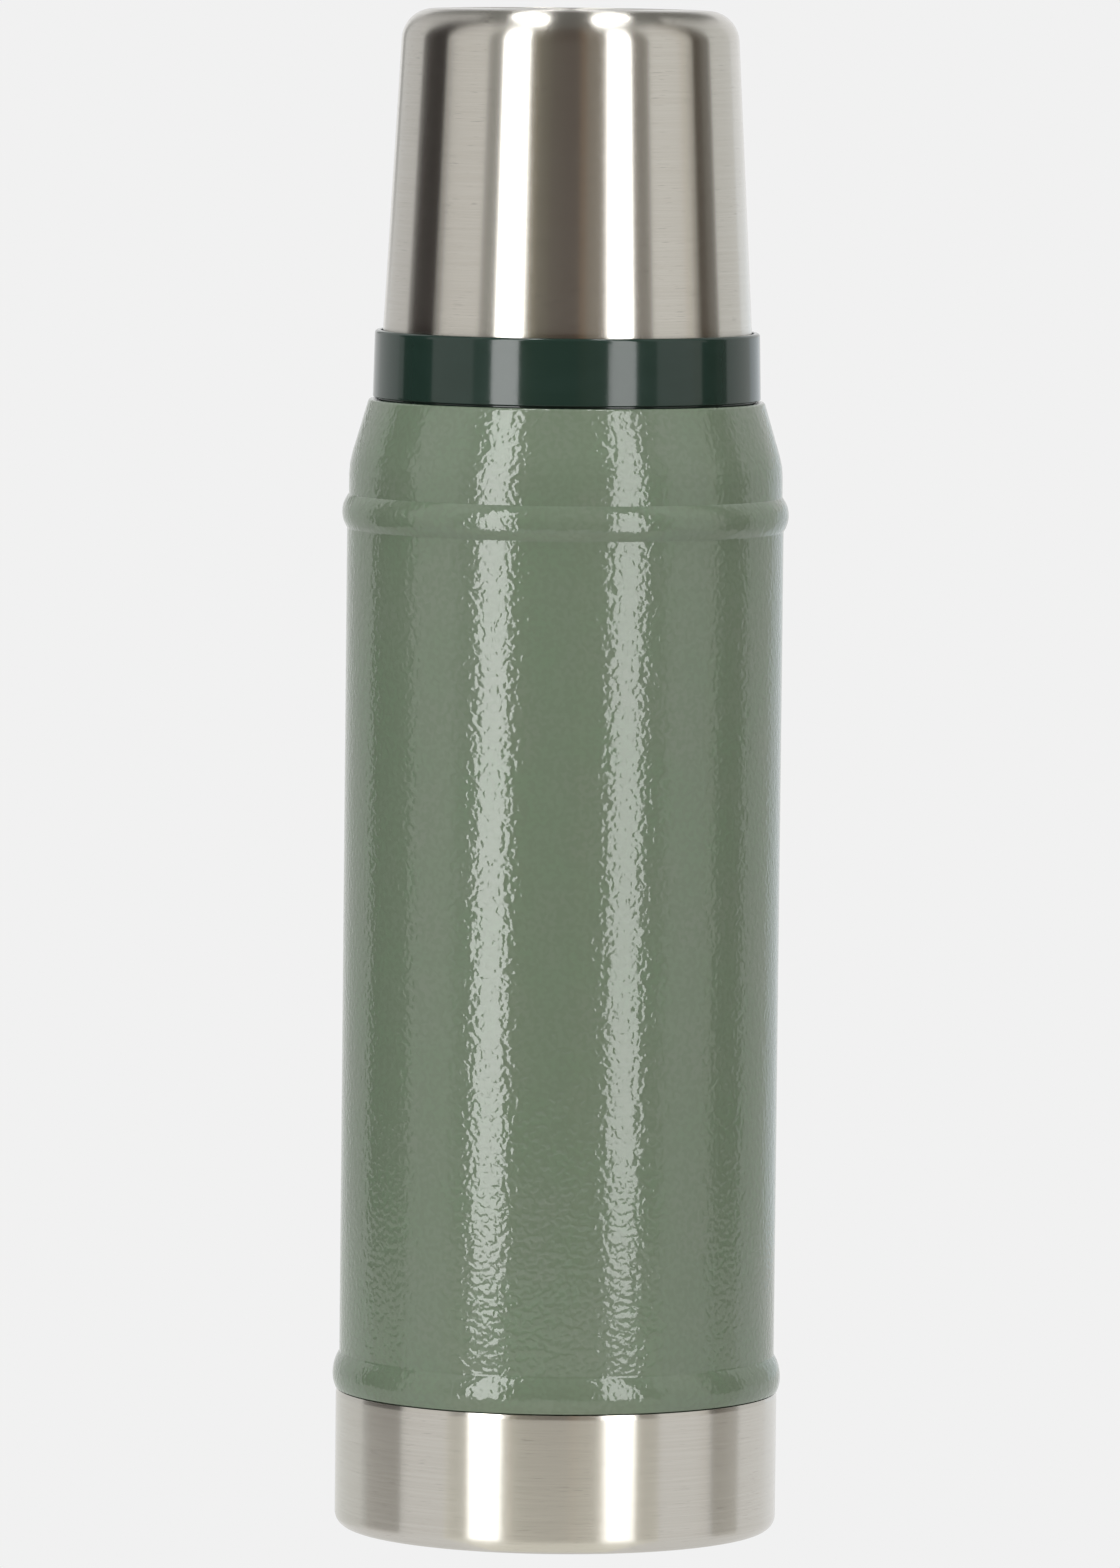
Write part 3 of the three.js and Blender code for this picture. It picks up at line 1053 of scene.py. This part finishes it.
def strip(name, start, end, strength, low, high):
    """A bright upright strip that the flask mirrors but isn't lit by."""
    made = upright_card(name, start, end, WHITE, strength, STRIP_DISTANCE, low, high)
    made.visible_diffuse = False


def overhead_disc(name, x, y, half_x, half_y, strength):
    """A bright oval above the flask that it mirrors but isn't lit by."""
    sides = 48
    points = [
        (x + half_x * math.cos(TURN * k / sides), y + half_y * math.sin(TURN * k / sides), OVERHEAD_Z)
        for k in range(sides)
    ]
    made = card(name, points, [tuple(range(sides))], WHITE, strength)
    made.visible_diffuse = False


# What the flask mirrors, from behind it on the left, past the camera, to behind it on the right.
# Each row is a name, the azimuths in degrees where the card starts and ends, and its colour.
SURROUND = [
    ("edge_left", -158, -150, (0.42, 0.42, 0.41)),
    ("wall_left", -150, -116.5, (0.705, 0.705, 0.70)),
    ("gap_left_far", -116.5, -106, (0.05, 0.043, 0.04)),
    ("gap_left", -106, -90.2, (0.039, 0.033, 0.031)),
    ("panel_left", -90.2, -55.6, (0.82, 0.81, 0.785)),
    ("side_left", -55.6, -44.6, (0.33, 0.325, 0.305)),
    ("fade_left", -28.3, -20, (0.195, 0.168, 0.108)),
    ("fade_left_far", -20, -12, (0.14, 0.124, 0.092)),
    ("front_left", -12, -4, (0.116, 0.095, 0.077)),
    ("front", -4, 7, (0.104, 0.082, 0.068)),
    ("front_right", 7, 11, (0.21, 0.145, 0.098)),
    ("fade_right", 11, 24.3, (0.25, 0.218, 0.18)),
    ("side_right", 40.3, 53.2, (0.25, 0.23, 0.205)),
    ("panel_right", 53.2, 78, (0.86, 0.855, 0.83)),
    ("panel_right_far", 78, 89, (0.80, 0.775, 0.72)),
    ("gap_right", 89, 97, (0.088, 0.07, 0.052)),
    ("gap_right_far", 97, 107, (0.17, 0.155, 0.135)),
    ("wall_right", 107, 138, (0.76, 0.765, 0.75)),
]
for card_name, start, end, colour in SURROUND:
    upright_card("card_" + card_name, start, end, colour)

# The tabletop as the base mirrors it, with its own soft reflections of those cards.
table_card("table_wall_left", -84, -58.5, (0.79, 0.80, 0.78))
table_card("table_gap_left", -58.5, -44.6, (0.69, 0.68, 0.65))
table_card("table_front", -30, 28, (0.95, 0.938, 0.86))
table_card("table_gap_right", 45.3, 55.3, (0.72, 0.71, 0.67))

# Below the cup the gaps start nearer the camera, and the walls reach further back and are lighter.
# Beside the collar the left wall comes forward too. A row's fourth value is the card's lower edge.
LOW_EDGES = [
    ("wall_left_low", -116.5, -111, 0.2, (0.55, 0.55, 0.54)),
    ("gap_left_low", -90.7, -84.8, 0.0, (0.045, 0.042, 0.038)),
    ("gap_right_low", 84.8, 89.5, 0.0, (0.07, 0.065, 0.055)),
    ("edge_left_low", -162, -147.5, 0.0, (0.80, 0.80, 0.80)),
    ("edge_right_low", 137, 164, 0.0, (0.91, 0.96, 1.0)),
]
for card_name, start, end, low, colour in LOW_EDGES:
    upright_card("card_" + card_name, start, end, colour, 1.0, LOW_CARD_DISTANCE, low, LOW_CARD_TOP_Z)

# The two bright strips stand on dim feet. The right one is a little wider beside the body.
STRIPS = [
    ("strip_left", -43.6, -27.5, 6.8),
    ("strip_right", 25.4, 39.7, 5.6),
]
for card_name, start, end, strength in STRIPS:
    strip(card_name, start, end, strength, STRIP_FOOT_Z, STRIP_TOP_Z)
    strip(card_name + "_foot", start, end, strength / FOOT_DIMMING, 0.0, STRIP_FOOT_Z)
strip("strip_right_low", 23.4, 25.4, 4.8, low=0.05, high=0.235)

for card_name, x in (("overhead_left", -0.175), ("overhead_right", 0.175)):
    overhead_disc(card_name, x, y=0.15, half_x=0.07, half_y=0.3, strength=14.0)

ceiling_plan = [(-0.7, -3), (0.7, -3), (0.7, 2), (-0.7, 2)]
card("ceiling", [(x, y, CEILING_Z) for x, y in ceiling_plan], [(0, 1, 2, 3)], (0.18, 0.18, 0.17))


def soft_lamp(name, place, size, power):
    """A square soft lamp aimed at the middle of the flask, which lights it but isn't mirrored."""
    lamp = bpy.data.lights.new(name, "AREA")
    lamp.size = size
    lamp.energy = power
    made = bpy.data.objects.new(name, lamp)
    bpy.context.scene.collection.objects.link(made)
    made.location = place
    aim = Vector((0, 0, HEIGHT * MM / 2)) - made.location
    made.rotation_mode = "QUATERNION"
    made.rotation_quaternion = aim.to_track_quat("-Z", "Y")
    made.visible_glossy = False
    made.visible_camera = False


soft_lamp("lamp_left", (-0.9, -1.2, 0.8), size=0.8, power=5.6)
soft_lamp("lamp_right", (0.9, -1.2, 0.8), size=0.8, power=1.6)
soft_lamp("lamp_front", (0, -0.45, 0.55), size=0.3, power=1.45)
soft_lamp("lamp_top", (0, -0.25, 1.05), size=0.3, power=2.0)

# The floor is a wide disc that glows as evenly as the background, so its edge doesn't show.
FLOOR_R = 40
FLOOR_SIDES = 64
floor_rim = [
    (FLOOR_R * math.cos(TURN * k / FLOOR_SIDES), FLOOR_R * math.sin(TURN * k / FLOOR_SIDES), 0)
    for k in range(FLOOR_SIDES)
]
floor_mesh = bpy.data.meshes.new("floor")
floor_mesh.from_pydata(floor_rim, [], [tuple(range(FLOOR_SIDES))])
floor = bpy.data.objects.new("floor", floor_mesh)
bpy.context.scene.collection.objects.link(floor)
floor_mesh.materials.append(glow("pale_floor", (PALE, PALE, PALE), 1.0))

world = bpy.data.worlds.new("studio")
bpy.context.scene.world = world
world.use_nodes = True
background = world.node_tree.nodes["Background"]
background.inputs["Color"].default_value = (PALE, PALE, PALE, 1)
background.inputs["Strength"].default_value = 1.0
bpy.context.scene.view_settings.view_transform = "Standard"


# ---- camera ---------------------------------------------------------------------------------

CAMERA_AT = Vector((0, -2.381, 0.325))
AIM = Vector((-0.0005, 0, 0.144))
LENS = 284.5
SENSOR = 36
ROLL = math.radians(0.62)

camera_data = bpy.data.cameras.new("camera")
camera_data.sensor_width = SENSOR
camera_data.lens = LENS
camera_data.clip_start = 0.1
camera_data.clip_end = 100
camera = bpy.data.objects.new("camera", camera_data)
bpy.context.scene.collection.objects.link(camera)
camera.location = CAMERA_AT
camera.rotation_mode = "QUATERNION"
camera.rotation_quaternion = (AIM - CAMERA_AT).to_track_quat("-Z", "Y") @ Quaternion((0, 0, 1), ROLL)
bpy.context.scene.camera = camera
